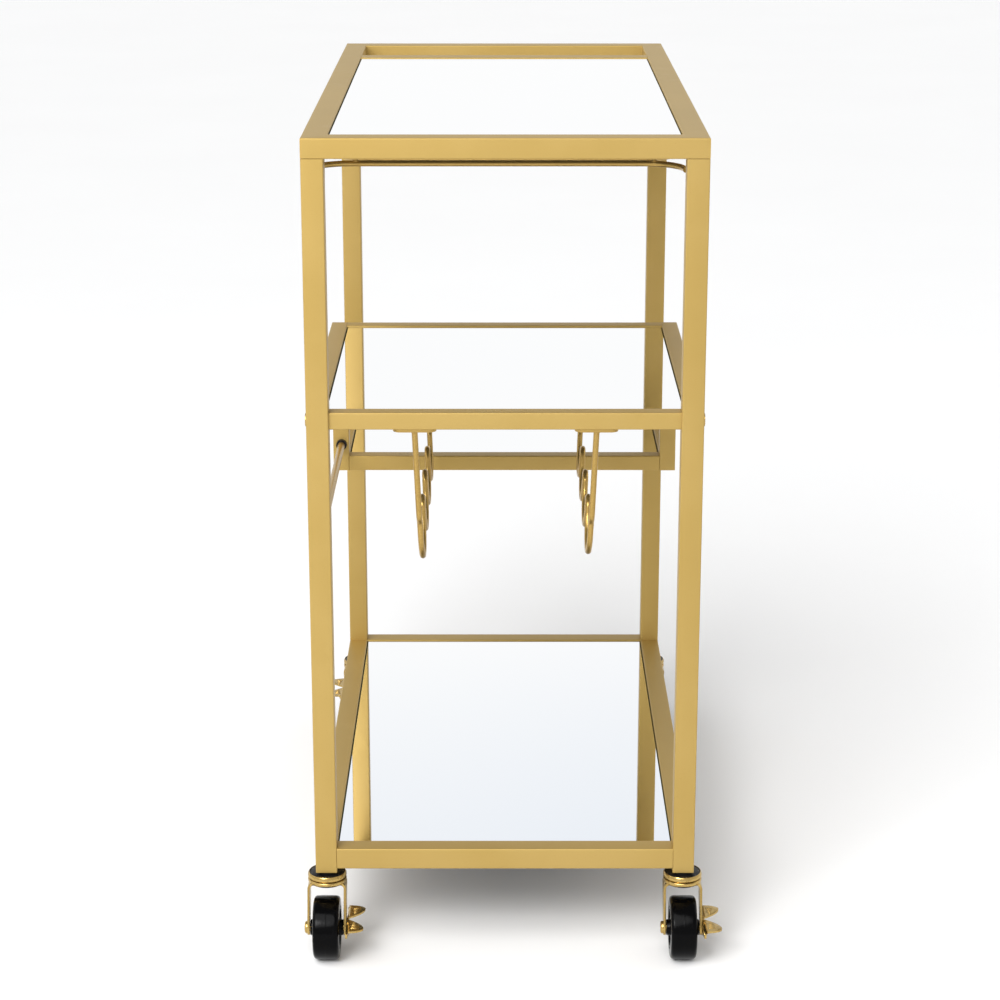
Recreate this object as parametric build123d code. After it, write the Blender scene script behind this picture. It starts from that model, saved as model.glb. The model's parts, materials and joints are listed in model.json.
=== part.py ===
from build123d import *
import math
import os

# Bar cart on four swivel casters, in millimetres. +Z is up, the floor is z = 0.
# +Y runs along the cart towards the push handle, +X is the open side where bottles and glasses go in.

# Overall
WIDTH = 390.0
FRAME_LENGTH = 785.0
HEIGHT = 850.0
LEG_BASE_LENGTH = 659.0
CASTER_HEIGHT = 91.0

# Tubes
LEG = 22.0
TOP_W = 25.0
TOP_H = 20.0
TRAY_W = 18.0
TRAY_H = 17.0
WALL = 1.5
EDGE_R = 1.2

# Shelf levels, as heights of the tube tops
TOP_Z = HEIGHT
UPPER_TRAY_Z = HEIGHT - 270.0
LOWER_TRAY_Z = HEIGHT - 422.0
BOTTOM_Z = HEIGHT - 732.5
STEP_LENGTH = 410.0

# Mirrors and the ledges under them
MIRROR_T = 5.0
MIRROR_GAP = 0.75
TOP_RECESS = 1.0
SHELF_RECESS = 1.5
LEDGE_T = 3.0
LEDGE_W = 20.0
TOP_LEDGE_W = 24.0
GLASS_EDGE = 0.8

# Bottle cradles
WIRE_R = 3.0
CRADLE_FRONT_X = 90.0
CRADLE_BACK_X = -89.0
CRADLE_LEAN = 2.5
CREST_Z = HEIGHT - 385.0
FRONT_DEPTH = 42.0
BACK_DEPTH = 46.5
BOTTLE_PITCH = 93.0
BOTTLES = 4
HANGER_NEAR = 10.0
HANGER_FAR = 398.0
PLATE_LENGTH = 43.0
PLATE_W = 16.0
PLATE_T = 3.0
CREST_R = 9.5
BEND_RISE = 14.0
BEND_REACH = 13.0

# Bottle stop rod
STOP_R = 4.0
STOP_X = -185.5
STOP_Z = HEIGHT - 408.0
SOCKET_R = 6.0
SOCKET_L = 5.0

# Stemware rack
STEM_Z = HEIGHT - 44.0
STEM_FIRST = 125.0
STEM_GAP = 34.0
LOOP_WIDTH = 70.0
CHANNELS = 3
FLARE_R = 40.0
WIRE_BEND_X = 138.0
BACK_BEND_X = -153.0
LOOP_FRONT_X = 176.0
LOOP_BACK_X = -172.0
HANGER_X = 149.0
HANGER_R = 2.5

# Connector bolts between tray and legs
BOLT_R = 3.0
BOLT_HOLE_R = 3.05
BOLT_HEAD_R = 6.5
BOLT_HEAD_T = 1.2
BOLT_SOCKET_R = 2.0
BOLT_SOCKET_DEPTH = 0.9
PLUG_L = 12.0

# Casters
WHEEL_R = 33.0
WHEEL_W = 27.0
WHEEL_EDGE_R = 5.0
HUB_R = 19.0
HUB_BOSS_R = 8.0
HUB_LENGTH = 34.0
TRAIL = 18.0
AXLE_R = 4.0
RUN_CLEARANCE = 0.07
PRESS_GAP = 0.02
SIDE_GAP = 0.4
CROWN_R = 20.0
CROWN_BOTTOM = 77.0
CROWN_H = 5.5
RIM = 1.5
PLATE = 2.5
FORK_INSIDE = 35.0
ARM_TOP_HALF = 12.0
ARM_TOP_R = 5.0
ARM_END_R = 8.0
STEM_R = 5.0
STEM_HEAD_R = 8.0
STEM_HEAD_T = 4.0
RACE_R = 20.0
RACE_BOTTOM = 83.3
RACE_TOP = 88.6
COVER_R = 18.4
COLLAR_R = 9.5
INSERT_L = 34.0
AXLE_HEAD_R = 6.5
AXLE_HEAD_T = 3.0
NUT_R = 7.0
NUT_T = 4.5

# Brake pedal, as distances from the axle
PEDAL_T = 2.0
PEDAL_Z = 8.0
PEDAL_HALF = 29.0
PEDAL_END = 6.0
PEDAL_EYE_R = 8.5
PEDAL_FOOT = 7.0
PEDAL_DROP = 5.0
WING_ROOT = 3.0
WING_REACH = 18.5
WING_TIP_Y = 25.0
WING_SHOULDER = 11.0
WING_SHOULDER_Y = 31.0
WING_TIP_R = 4.0

# The row's origin is the centre of the whole cart's box, so the end rail's outer face lies at Y0.
CASTER_Y = LEG / 2
WHEEL_REACH = WHEEL_R + TRAIL - CASTER_Y
Y0 = -(FRAME_LENGTH - WHEEL_REACH) / 2
HALF = WIDTH / 2
LEG_X = HALF - LEG / 2
FAR_LEG = LEG_BASE_LENGTH - LEG
NEAR_CASTER = LEG / 2
FAR_CASTER = LEG_BASE_LENGTH - LEG / 2
TOP_INNER = HALF - TOP_W
TRAY_INNER = HALF - TRAY_W
LEG_INNER = HALF - LEG

PARTS = {}


def keep(name, shape):
    PARTS[name] = Pos(0, Y0, 0) * shape


def block(x0, x1, y0, y1, z0, z1):
    centre = Pos((x0 + x1) / 2, (y0 + y1) / 2, (z0 + z1) / 2)
    return centre * Box(x1 - x0, y1 - y0, z1 - z0)


def rod(start, end, radius):
    start = Vector(*start)
    way = Vector(*end) - start
    return extrude(Plane(start, z_dir=way) * Circle(radius), way.length)


def tube(start, end, across, tall, side=(1, 0, 0)):
    # Rectangular tube with rounded long edges, from start to end along its centre line.
    start = Vector(*start)
    way = Vector(*end) - start
    plane = Plane(start, x_dir=side, z_dir=way)
    outside = RectangleRounded(across, tall, EDGE_R)
    inside = Rectangle(across - 2 * WALL, tall - 2 * WALL)
    return extrude(plane * (outside - inside), way.length)


def along_y(x0, x1, y0, y1, z_top, tall):
    middle = ((x0 + x1) / 2, z_top - tall / 2)
    return tube((middle[0], y0, middle[1]), (middle[0], y1, middle[1]), x1 - x0, tall)


def along_x(x0, x1, y0, y1, z_top, tall):
    middle = ((y0 + y1) / 2, z_top - tall / 2)
    return tube((x0, middle[0], middle[1]), (x1, middle[0], middle[1]), y1 - y0, tall, (0, 1, 0))


def upright(x0, x1, y0, y1, z0, z1):
    middle = ((x0 + x1) / 2, (y0 + y1) / 2)
    return tube((*middle, z0), (*middle, z1), x1 - x0, y1 - y0)


def mitre(shape, corner, towards):
    # Keeps the side of a vertical 45 degree cut through the corner that lies towards the given way.
    cut = Plane((corner[0], corner[1], 0), z_dir=(*towards, 0))
    return split(shape, bisect_by=cut, keep=Keep.TOP)


def top_frame():
    near = along_x(-HALF, HALF, 0, TOP_W, TOP_Z, TOP_H)
    near = mitre(near, (-HALF, 0), (1, -1))
    keep("top_end_rail", mitre(near, (HALF, 0), (-1, -1)))
    handle = along_x(-HALF, HALF, FRAME_LENGTH - TOP_W, FRAME_LENGTH, TOP_Z, TOP_H)
    handle = mitre(handle, (-HALF, FRAME_LENGTH), (1, 1))
    keep("handle_rail", mitre(handle, (HALF, FRAME_LENGTH), (-1, 1)))
    for side, name in ((1, "top_front_rail"), (-1, "top_back_rail")):
        inner, outer = sorted((side * TOP_INNER, side * HALF))
        rail = along_y(inner, outer, 0, FRAME_LENGTH, TOP_Z, TOP_H)
        rail = mitre(rail, (side * HALF, 0), (side, 1))
        keep(name, mitre(rail, (side * HALF, FRAME_LENGTH), (side, -1)))
    cross = along_x(-TOP_INNER, TOP_INNER, FAR_LEG, FAR_LEG + TOP_W, TOP_Z, TOP_H)
    keep("top_cross_rail", cross)


def legs():
    for side, face in ((1, "front"), (-1, "back")):
        for y, end in ((0, "left"), (FAR_LEG, "right")):
            x0, x1 = sorted((side * LEG_INNER, side * HALF))
            post = upright(x0, x1, y, y + LEG, CASTER_HEIGHT, TOP_Z - TOP_H)
            bolt_y = y + LEG / 2
            bolt_z = (UPPER_TRAY_Z if end == "left" else LOWER_TRAY_Z) - TRAY_H / 2
            inside = (side * (LEG_INNER - 1), bolt_y, bolt_z)
            hole = rod(inside, (side * (HALF + 1), bolt_y, bolt_z), BOLT_HOLE_R)
            keep("leg_" + face + "_" + end, post - hole)


def bottom_frame():
    keep("bottom_left_rail", along_x(-LEG_INNER, LEG_INNER, 0, LEG, BOTTOM_Z, LEG))
    keep("bottom_right_rail", along_x(-LEG_INNER, LEG_INNER, FAR_LEG, FAR_LEG + LEG, BOTTOM_Z, LEG))
    keep("bottom_front_rail", along_y(LEG_INNER, HALF, LEG, FAR_LEG, BOTTOM_Z, LEG))
    keep("bottom_back_rail", along_y(-HALF, -LEG_INNER, LEG, FAR_LEG, BOTTOM_Z, LEG))


def bolted_rail(y0, z_top):
    # A tray rail between two legs, with a tapped end plug at each end.
    rail = along_x(-LEG_INNER, LEG_INNER, y0, y0 + TRAY_W, z_top, TRAY_H)
    y_mid = y0 + TRAY_W / 2
    z_mid = z_top - TRAY_H / 2
    plug_y = TRAY_W / 2 - WALL
    plug_z = TRAY_H / 2 - WALL
    for side in (1, -1):
        x0, x1 = sorted((side * (LEG_INNER - PLUG_L), side * LEG_INNER))
        rail += block(x0, x1, y_mid - plug_y, y_mid + plug_y, z_mid - plug_z, z_mid + plug_z)
    bolt_y = LEG / 2 if y0 < FAR_LEG else FAR_LEG + LEG / 2
    return rail - rod((-HALF, bolt_y, z_mid), (HALF, bolt_y, z_mid), BOLT_HOLE_R)


def stepped_tray():
    near = LEG - TRAY_W
    step = STEP_LENGTH - TRAY_W
    keep("upper_tray_end_rail", bolted_rail(near, UPPER_TRAY_Z))
    keep("lower_tray_end_rail", bolted_rail(FAR_LEG, LOWER_TRAY_Z))
    across = along_x(-TRAY_INNER, TRAY_INNER, step, STEP_LENGTH, UPPER_TRAY_Z, TRAY_H)
    keep("upper_tray_step_rail", across)
    keep("lower_tray_step_rail", Pos(0, 0, LOWER_TRAY_Z - UPPER_TRAY_Z) * across)
    for side, name in ((1, "front"), (-1, "back")):
        x0, x1 = sorted((side * TRAY_INNER, side * HALF))
        keep("upper_tray_" + name + "_rail", along_y(x0, x1, LEG, STEP_LENGTH, UPPER_TRAY_Z, TRAY_H))
        keep("lower_tray_" + name + "_rail", along_y(x0, x1, STEP_LENGTH, FAR_LEG, LOWER_TRAY_Z, TRAY_H))
        drop = upright(x0, x1, step, STEP_LENGTH, LOWER_TRAY_Z - TRAY_H, UPPER_TRAY_Z - TRAY_H)
        keep("drop_post_" + name, drop)


def shelves():
    # name, half width, near edge, far edge, frame top, recess, ledge width
    table = (
        ("top_mirror", TOP_INNER, TOP_W, FAR_LEG, TOP_Z, TOP_RECESS, TOP_LEDGE_W),
        ("upper_tray_mirror", TRAY_INNER, LEG, STEP_LENGTH - TRAY_W, UPPER_TRAY_Z, SHELF_RECESS, LEDGE_W),
        ("lower_tray_mirror", TRAY_INNER, STEP_LENGTH, FAR_LEG, LOWER_TRAY_Z, SHELF_RECESS, LEDGE_W),
        ("bottom_mirror", LEG_INNER, LEG, FAR_LEG, BOTTOM_Z, SHELF_RECESS, LEDGE_W),
    )
    ledges = []
    for name, half, near, far, top, recess, ledge in table:
        x = half - MIRROR_GAP
        top = top - recess
        under = top - MIRROR_T
        glass = block(-x, x, near + MIRROR_GAP, far - MIRROR_GAP, under, top)
        keep(name, chamfer(glass.faces().sort_by(Axis.Z)[-1].edges(), GLASS_EDGE))
        for side in (1, -1):
            x0, x1 = sorted((side * (half - ledge), side * half))
            ledges.append(block(x0, x1, near, far, under - LEDGE_T, under))
    keep("mirror_ledges", Compound(ledges))


def crest_point(y, way, angle):
    # A point on the crest at y, the given angle down its way side.
    return (0, y + way * CREST_R * math.sin(angle), CREST_Z - CREST_R * (1 - math.cos(angle)))


def flank_angle(depth):
    # How far the wire turns down from a crest before it enters a trough.
    return 2 * math.atan(2 * depth / BOTTLE_PITCH)


def scallop(start, depth):
    # Half a crest, a trough and half a crest, which meet in line.
    turn = flank_angle(depth)
    end = start + BOTTLE_PITCH
    first = [crest_point(start, 1, part * turn) for part in (0, 0.5, 1)]
    last = [crest_point(end, -1, part * turn) for part in (1, 0.5, 0)]
    bottom = (0, start + BOTTLE_PITCH / 2, CREST_Z - depth)
    return [ThreePointArc(*first), ThreePointArc(first[2], bottom, last[0]), ThreePointArc(*last)]


def hanger_bend(y, way, crest_y, depth):
    # From the foot of an upright hanger, sideways into the outer flank of an end trough.
    turn = flank_angle(depth)
    flank = crest_point(crest_y, way, turn)
    foot = (0, y, CREST_Z + BEND_RISE)
    above = (0, flank[1] - way * BEND_REACH * math.cos(turn), flank[2] + BEND_REACH * math.sin(turn))
    return Bezier(foot, (0, y, foot[2] - BEND_REACH), above, flank)


def cradle(x, depth):
    arcs = []
    for bottle in range(BOTTLES):
        arcs += scallop(HANGER_NEAR + bottle * BOTTLE_PITCH, depth)
    last_crest = HANGER_NEAR + BOTTLES * BOTTLE_PITCH
    top = UPPER_TRAY_Z - TRAY_H - PLATE_T
    arcs[0] = hanger_bend(HANGER_NEAR, 1, HANGER_NEAR, depth)
    arcs[-1] = hanger_bend(HANGER_FAR, -1, last_crest, depth)
    ends = [Line((0, y, top), (0, y, CREST_Z + BEND_RISE)) for y in (HANGER_NEAR, HANGER_FAR)]
    start = Plane((0, HANGER_NEAR, top), z_dir=(0, 0, -1))
    wire = sweep(start * Circle(WIRE_R), path=Wire([ends[0], *arcs, ends[1]]))
    lean = math.copysign(CRADLE_LEAN, x)
    return Pos(x, 0, top) * Rot(0, lean, 0) * Pos(0, 0, -top) * wire


def bottle_holders():
    keep("bottle_cradle_front", cradle(CRADLE_FRONT_X, FRONT_DEPTH))
    keep("bottle_cradle_back", cradle(CRADLE_BACK_X, BACK_DEPTH))
    plates = []
    under = UPPER_TRAY_Z - TRAY_H
    for x in (CRADLE_FRONT_X, CRADLE_BACK_X):
        for y in (LEG - TRAY_W / 2, STEP_LENGTH - TRAY_W / 2):
            outline = Pos(x, y, under - PLATE_T) * SlotOverall(PLATE_LENGTH, PLATE_W)
            plates.append(extrude(outline, PLATE_T))
    keep("cradle_plates", Compound(plates))
    far = STEP_LENGTH - TRAY_W
    keep("bottle_stop_rod", rod((STOP_X, LEG, STOP_Z), (STOP_X, far, STOP_Z), STOP_R))
    sockets = []
    for y0, y1 in ((LEG, LEG + SOCKET_L), (far - SOCKET_L, far)):
        ring = rod((STOP_X, y0, STOP_Z), (STOP_X, y1, STOP_Z), SOCKET_R)
        sockets.append(ring - rod((STOP_X, y0 - 1, STOP_Z), (STOP_X, y1 + 1, STOP_Z), STOP_R))
    keep("rod_sockets", Compound(sockets))


def flare(x, y, x_way, y_way, degrees):
    # An arc that leaves the straight wire at x and bends sideways through the given angle.
    points = []
    for part in (0, 0.5, 1):
        angle = math.radians(degrees * part)
        across = y_way * FLARE_R * (1 - math.cos(angle))
        points.append((x + x_way * FLARE_R * math.sin(angle), y + across, STEM_Z))
    return ThreePointArc(*points)


def end_wire(y, way):
    # A single wire whose two ends bend away from the neighbouring channel.
    front = flare(WIRE_BEND_X, y, 1, way, 90)
    back = flare(BACK_BEND_X, y, -1, way, 45)
    straight = Line((BACK_BEND_X, y, STEM_Z), (WIRE_BEND_X, y, STEM_Z))
    forward = Plane((BACK_BEND_X, y, STEM_Z), z_dir=(1, 0, 0)) * Circle(WIRE_R)
    backward = Plane((BACK_BEND_X, y, STEM_Z), z_dir=(-1, 0, 0)) * Circle(WIRE_R)
    return sweep(forward, path=Wire([straight, front])) + sweep(backward, path=Wire([back]))


def loop_wire(y):
    # A closed loop with round ends, which leaves a channel on each side of it.
    r = LOOP_WIDTH / 2
    x0 = LOOP_BACK_X + r
    x1 = LOOP_FRONT_X - r
    high = WIRE_R + 1
    ring = Pos(0, y, STEM_Z) * Torus(r, WIRE_R)
    reach = r + high
    front = ring & block(0, reach, y - reach, y + reach, STEM_Z - high, STEM_Z + high)
    back = ring & block(-reach, 0, y - reach, y + reach, STEM_Z - high, STEM_Z + high)
    wire = Pos(x1, 0, 0) * front + Pos(x0, 0, 0) * back
    for side in (1, -1):
        wire += rod((x0, y + side * r, STEM_Z), (x1, y + side * r, STEM_Z), WIRE_R)
    return wire


def stemware_rack():
    pitch = STEM_GAP + LOOP_WIDTH
    last = STEM_FIRST + STEM_GAP + (CHANNELS - 1) * pitch
    wires = [end_wire(STEM_FIRST, -1), end_wire(last, 1)]
    drop_front = FLARE_R - math.sqrt(FLARE_R ** 2 - (HANGER_X - WIRE_BEND_X) ** 2)
    places = [(HANGER_X, STEM_FIRST - drop_front), (HANGER_X, last + drop_front)]
    places += [(-HANGER_X, STEM_FIRST), (-HANGER_X, last)]
    r = LOOP_WIDTH / 2
    for channel in range(CHANNELS - 1):
        y = STEM_FIRST + STEM_GAP + r + channel * pitch
        wires.append(loop_wire(y))
        for x, centre in ((HANGER_X, LOOP_FRONT_X - r), (-HANGER_X, LOOP_BACK_X + r)):
            offset = math.sqrt(r ** 2 - (x - centre) ** 2)
            places += [(x, y - offset), (x, y + offset)]
    keep("stemware_wires", Compound(wires))
    ledge_under = TOP_Z - TOP_RECESS - MIRROR_T - LEDGE_T
    hangers = []
    for x, y in places:
        hanger = rod((x, y, STEM_Z), (x, y, ledge_under), HANGER_R)
        for wire in wires:
            hanger = hanger - wire
        hangers.append(hanger.solids().sort_by(Axis.Z)[-1])
    keep("stemware_hangers", Compound(hangers))


def joint_bolts():
    # Connector bolts with a thin flat head, one through each leg into the tray.
    bolts = []
    for y, z in ((LEG / 2, UPPER_TRAY_Z), (FAR_LEG + LEG / 2, LOWER_TRAY_Z)):
        z_mid = z - TRAY_H / 2
        for side in (1, -1):
            outside = side * HALF
            top = side * (HALF + BOLT_HEAD_T)
            shank = rod((side * (LEG_INNER - PLUG_L), y, z_mid), (outside, y, z_mid), BOLT_R)
            head = rod((outside, y, z_mid), (top, y, z_mid), BOLT_HEAD_R)
            socket = rod((top - side * BOLT_SOCKET_DEPTH, y, z_mid), (top + side, y, z_mid), BOLT_SOCKET_R)
            bolts.append(shank + (head - socket))
    keep("joint_bolts", Compound(bolts))


def turned(points):
    # A ring or disc turned about Z from a half outline of (radius, height) points.
    outline = Polyline(*[(r, 0, z) for r, z in points], close=True)
    return revolve(make_face(outline), Axis.Z)


def caster_places():
    # name, x, y, and whether the caster trails towards the handle end
    return (
        ("front_left", LEG_X, NEAR_CASTER, False),
        ("back_left", -LEG_X, NEAR_CASTER, False),
        ("front_right", LEG_X, FAR_CASTER, True),
        ("back_right", -LEG_X, FAR_CASTER, True),
    )


def fixed_caster_pieces():
    insert_r = STEM_R + PRESS_GAP
    core = LEG / 2 - WALL
    insert_top = CASTER_HEIGHT + INSERT_L
    insert = block(-core, core, -core, core, CASTER_HEIGHT, insert_top)
    insert = insert - rod((0, 0, CASTER_HEIGHT - 1), (0, 0, insert_top + 1), insert_r)
    head_top = CROWN_BOTTOM - SIDE_GAP
    head_bottom = head_top - STEM_HEAD_T
    stem = rod((0, 0, head_bottom), (0, 0, insert_top - STEM_HEAD_T), STEM_R)
    stem += rod((0, 0, head_bottom), (0, 0, head_top), STEM_HEAD_R)
    bore = COVER_R + 0.1
    race = turned((
        (bore, RACE_BOTTOM), (RACE_R - 0.8, RACE_BOTTOM), (RACE_R, RACE_BOTTOM + 1.2),
        (RACE_R, RACE_TOP - 2), (RACE_R - 1.2, RACE_TOP), (bore, RACE_TOP),
    ))
    low = RACE_BOTTOM + 0.2
    high = RACE_TOP - 0.3
    cover = turned((
        (insert_r, low), (COVER_R, low), (COVER_R, RACE_TOP - 1), (COVER_R - RIM, high),
        (COLLAR_R, high), (COLLAR_R, CASTER_HEIGHT), (insert_r, CASTER_HEIGHT),
    ))
    return {"leg_inserts": insert, "caster_stems": stem, "swivel_races": race, "dust_covers": cover}


def fork():
    # Round crown with a rolled rim, and two arms that taper down to the axle behind the stem.
    top = CROWN_BOTTOM + CROWN_H
    bore = STEM_R + RUN_CLEARANCE
    crown = turned((
        (bore, CROWN_BOTTOM), (CROWN_R - RIM, CROWN_BOTTOM), (CROWN_R, CROWN_BOTTOM + RIM),
        (CROWN_R, top - RIM), (CROWN_R - 1, top), (CROWN_R - 2, top),
        (CROWN_R - PLATE, CROWN_BOTTOM + PLATE), (bore, CROWN_BOTTOM + PLATE),
    ))
    hub_at = (-TRAIL, WHEEL_R)
    upper = (0.0, CROWN_BOTTOM + 1.0)
    way = Vector(hub_at[0] - upper[0], hub_at[1] - upper[1])
    lean = math.atan2(way.Y, way.X)
    spread = math.asin((ARM_TOP_HALF - ARM_END_R) / way.length)
    points = []
    for side in (1, -1):
        angle = lean + side * (math.pi / 2 - spread)
        points.append((hub_at[0] + ARM_END_R * math.cos(angle), hub_at[1] + ARM_END_R * math.sin(angle)))
    arms = None
    side_x = FORK_INSIDE / 2
    for side in (1, -1):
        x0, x1 = sorted((side * side_x, side * (side_x + PLATE)))
        high = CROWN_BOTTOM + 2.0
        outline = Polyline(
            (x0, -ARM_TOP_HALF, high), (x0, ARM_TOP_HALF, high),
            (x0, *points[0]), (x0, *points[1]), close=True,
        )
        face = make_face(outline)
        face = fillet(face.vertices().sort_by(Axis.Z)[-2:], ARM_TOP_R)
        arm = extrude(face, PLATE, dir=(1, 0, 0))
        arm += rod((x0, *hub_at), (x1, *hub_at), ARM_END_R)
        arms = arm if arms is None else arms + arm
    # The arms stay within the crown's outline, carried straight back past the axle.
    length = 4 * CROWN_R + TRAIL
    arms = arms & extrude(Pos(0, -TRAIL / 2, 0) * SlotOverall(length, 2 * CROWN_R, 90), HEIGHT)
    arms = arms - rod((-HALF, *hub_at), (HALF, *hub_at), AXLE_R + PRESS_GAP)
    return crown + arms


def axle():
    # Axle bolt with a domed head, and its nut on the pedal side.
    inner = FORK_INSIDE / 2 + PLATE
    nut_at = inner + SIDE_GAP + PEDAL_T + SIDE_GAP
    shaft = rod((-inner, -TRAIL, WHEEL_R), (nut_at + NUT_T + 1, -TRAIL, WHEEL_R), AXLE_R)
    head = rod((-inner - AXLE_HEAD_T, -TRAIL, WHEEL_R), (-inner, -TRAIL, WHEEL_R), AXLE_HEAD_R)
    head = fillet(head.faces().sort_by(Axis.X)[0].edges(), AXLE_HEAD_T * 2 / 3)
    nut = extrude(Plane((nut_at, -TRAIL, WHEEL_R), z_dir=(1, 0, 0)) * RegularPolygon(NUT_R, 6), NUT_T)
    return shaft + head + nut


def wheel():
    half = WHEEL_W / 2
    disc = rod((-half, -TRAIL, WHEEL_R), (half, -TRAIL, WHEEL_R), WHEEL_R)
    rims = [e for e in disc.edges() if e.geom_type == GeomType.CIRCLE]
    disc = fillet(rims, WHEEL_EDGE_R)
    return disc - rod((-half - 1, -TRAIL, WHEEL_R), (half + 1, -TRAIL, WHEEL_R), HUB_R)


def wheel_hub():
    half = WHEEL_W / 2 - 1.0
    web = half - 3.0
    boss = HUB_LENGTH / 2
    bore = AXLE_R + RUN_CLEARANCE
    lip = HUB_R - 2.5
    root = HUB_BOSS_R + 1.5
    outline = Polyline(
        (-boss, bore), (boss, bore), (boss, HUB_BOSS_R), (web, root), (web, lip), (half, lip),
        (half, HUB_R), (-half, HUB_R), (-half, lip), (-web, lip), (-web, root), (-boss, HUB_BOSS_R),
        close=True,
    )
    hub = revolve(make_face(outline), Axis.X)
    return Pos(0, -TRAIL, WHEEL_R) * hub


def wing_outline(x0, way):
    # Half of the butterfly pedal, seen from above: a root along the side plate and a swept rounded tip.
    y = -TRAIL
    points = (
        (x0, y + way * WING_ROOT), (x0, y + way * PEDAL_HALF),
        (x0 + WING_SHOULDER, y + way * WING_SHOULDER_Y), (x0 + WING_REACH, y + way * WING_TIP_Y),
    )
    face = make_face(Polyline(*points, close=True))
    tips = face.vertices().sort_by(Axis.X)[-2:]
    return fillet(tips, WING_TIP_R)


def brake_pedal():
    # Side plate on the axle, with two wings that stand out from its top edge.
    x0 = FORK_INSIDE / 2 + PLATE + SIDE_GAP
    y = -TRAIL
    high = WHEEL_R + PEDAL_Z + PEDAL_T
    foot = WHEEL_R - PEDAL_DROP
    plate = Polyline(
        (x0, y - PEDAL_HALF, high), (x0, y - PEDAL_HALF, high - PEDAL_END), (x0, y - PEDAL_FOOT, foot),
        (x0, y + PEDAL_FOOT, foot), (x0, y + PEDAL_HALF, high - PEDAL_END), (x0, y + PEDAL_HALF, high),
        close=True,
    )
    lever = extrude(make_face(plate), PEDAL_T, dir=(1, 0, 0))
    lever += rod((x0, y, WHEEL_R), (x0 + PEDAL_T, y, WHEEL_R), PEDAL_EYE_R)
    for way in (1, -1):
        lever += extrude(Pos(0, 0, high - PEDAL_T) * wing_outline(x0, way), PEDAL_T)
    return lever - rod((x0 - 1, y, WHEEL_R), (x0 + PEDAL_T + 1, y, WHEEL_R), AXLE_R + RUN_CLEARANCE)


def casters():
    fixed = fixed_caster_pieces()
    for name, piece in fixed.items():
        group = [Pos(x, y, 0) * piece for _, x, y, _ in caster_places()]
        keep(name, Compound(group))
    moving = {
        "fork": fork(), "axle": axle(), "wheel": wheel(), "wheel_hub": wheel_hub(),
        "brake_pedal": brake_pedal(),
    }
    for place, x, y, turned_round in caster_places():
        turn = Rot(0, 0, 180) if turned_round else Rot(0, 0, 0)
        for name, piece in moving.items():
            keep(name + "_" + place, Pos(x, y, 0) * turn * piece)


top_frame()
legs()
bottom_frame()
stepped_tray()
shelves()
bottle_holders()
stemware_rack()
joint_bolts()
casters()

os.makedirs("parts", exist_ok=True)
for node, shape in PARTS.items():
    export_step(shape, "parts/" + node + ".step")
print(len(PARTS), "nodes")
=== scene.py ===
import json
import math

import bmesh
import bpy
from mathutils import Matrix, Vector


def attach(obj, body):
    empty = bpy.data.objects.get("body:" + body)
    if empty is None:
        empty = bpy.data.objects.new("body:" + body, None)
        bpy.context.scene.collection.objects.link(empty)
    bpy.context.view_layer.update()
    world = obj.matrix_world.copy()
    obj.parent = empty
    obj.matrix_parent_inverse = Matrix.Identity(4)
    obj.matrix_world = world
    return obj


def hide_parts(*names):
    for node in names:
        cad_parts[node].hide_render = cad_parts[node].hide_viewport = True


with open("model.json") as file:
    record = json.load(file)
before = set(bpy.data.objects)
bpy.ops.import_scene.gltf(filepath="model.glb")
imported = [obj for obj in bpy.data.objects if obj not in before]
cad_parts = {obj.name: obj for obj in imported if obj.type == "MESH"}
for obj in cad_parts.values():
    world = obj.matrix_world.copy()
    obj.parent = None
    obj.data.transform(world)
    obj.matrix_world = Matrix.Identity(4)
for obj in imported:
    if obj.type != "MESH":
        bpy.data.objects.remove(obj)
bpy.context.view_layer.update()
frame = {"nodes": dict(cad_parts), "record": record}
mm = 0.001
endRail = -372.5  # mm, where the outer face of the end rail lies along the cart

casterAt = {  # mm across and along the cart, and whether the wheel trails towards the handle
    "front_left": (184, 11, False), "back_left": (-184, 11, False),
    "front_right": (184, 648, True), "back_right": (-184, 648, True),
}
slotOf = {part["node"]: part["material_slot"] for part in frame["record"]["subparts"]}


class Value:
    # an output socket, so that node maths reads as sums
    def __init__(self, tree, socket):
        self.tree = tree
        self.socket = socket

    def do(self, operation, first, second):
        return self.tree.add("ShaderNodeMath", {"operation": operation}, {0: first, 1: second})

    def __add__(self, other):
        return self.do("ADD", self, other)

    def __radd__(self, other):
        return self.do("ADD", other, self)

    def __sub__(self, other):
        return self.do("SUBTRACT", self, other)

    def __rsub__(self, other):
        return self.do("SUBTRACT", other, self)

    def __mul__(self, other):
        return self.do("MULTIPLY", self, other)

    def __rmul__(self, other):
        return self.do("MULTIPLY", other, self)

    def __truediv__(self, other):
        return self.do("DIVIDE", self, other)

    def __gt__(self, other):
        return self.do("GREATER_THAN", self, other)

    def __lt__(self, other):
        return self.do("LESS_THAN", self, other)


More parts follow.
